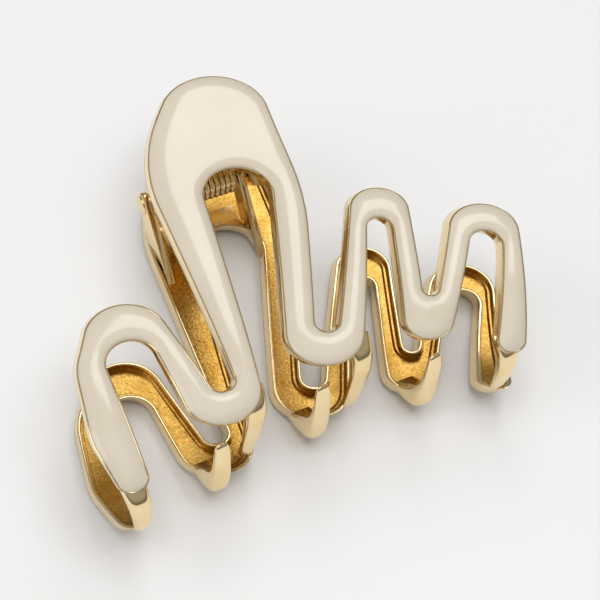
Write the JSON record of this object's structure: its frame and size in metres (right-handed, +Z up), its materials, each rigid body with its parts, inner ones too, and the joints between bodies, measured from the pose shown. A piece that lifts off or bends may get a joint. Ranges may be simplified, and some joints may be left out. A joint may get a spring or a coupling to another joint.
{
  "type": "claw hair clip",
  "caption": "Spring-loaded claw hair clip with two wave shaped metal jaws, interlocking curved teeth and glossy cream enamel inlays.",
  "frame": {"origin": "middle of the clip's outline, on the surface that it lies on", "axes": "+X along the hinge pin, +Y towards the finger pads, +Z up, from the back jaw to the front jaw"},
  "size_m": [0.0853, 0.0824, 0.0238],
  "materials": {
    "jaw_metal": "gold plated casting, polished outside, slightly rough in the hollows",
    "enamel": "cream enamel, domed, very glossy",
    "pin_metal": "gold plated, polished",
    "spring_wire": "gold plated drawn wire"
  },
  "bodies": {
    "back": {"back_jaw": "jaw_metal", "back_enamel": "enamel", "hinge_pin": "pin_metal", "torsion_spring": "spring_wire"},
    "front": {"front_jaw": "jaw_metal", "front_enamel": "enamel"}
  },
  "joints": [
    {"name": "jaw_hinge", "type": "hinge", "parent": "back", "child": "front", "pos_m": [-0.0024, 0.0209, 0.0119], "axis": [-1, 0, 0], "range_deg": [0, 45], "stiffness_Nm_per_rad": 0.1, "springref_deg": -57.3, "deforming": ["torsion_spring"]}
  ]
}
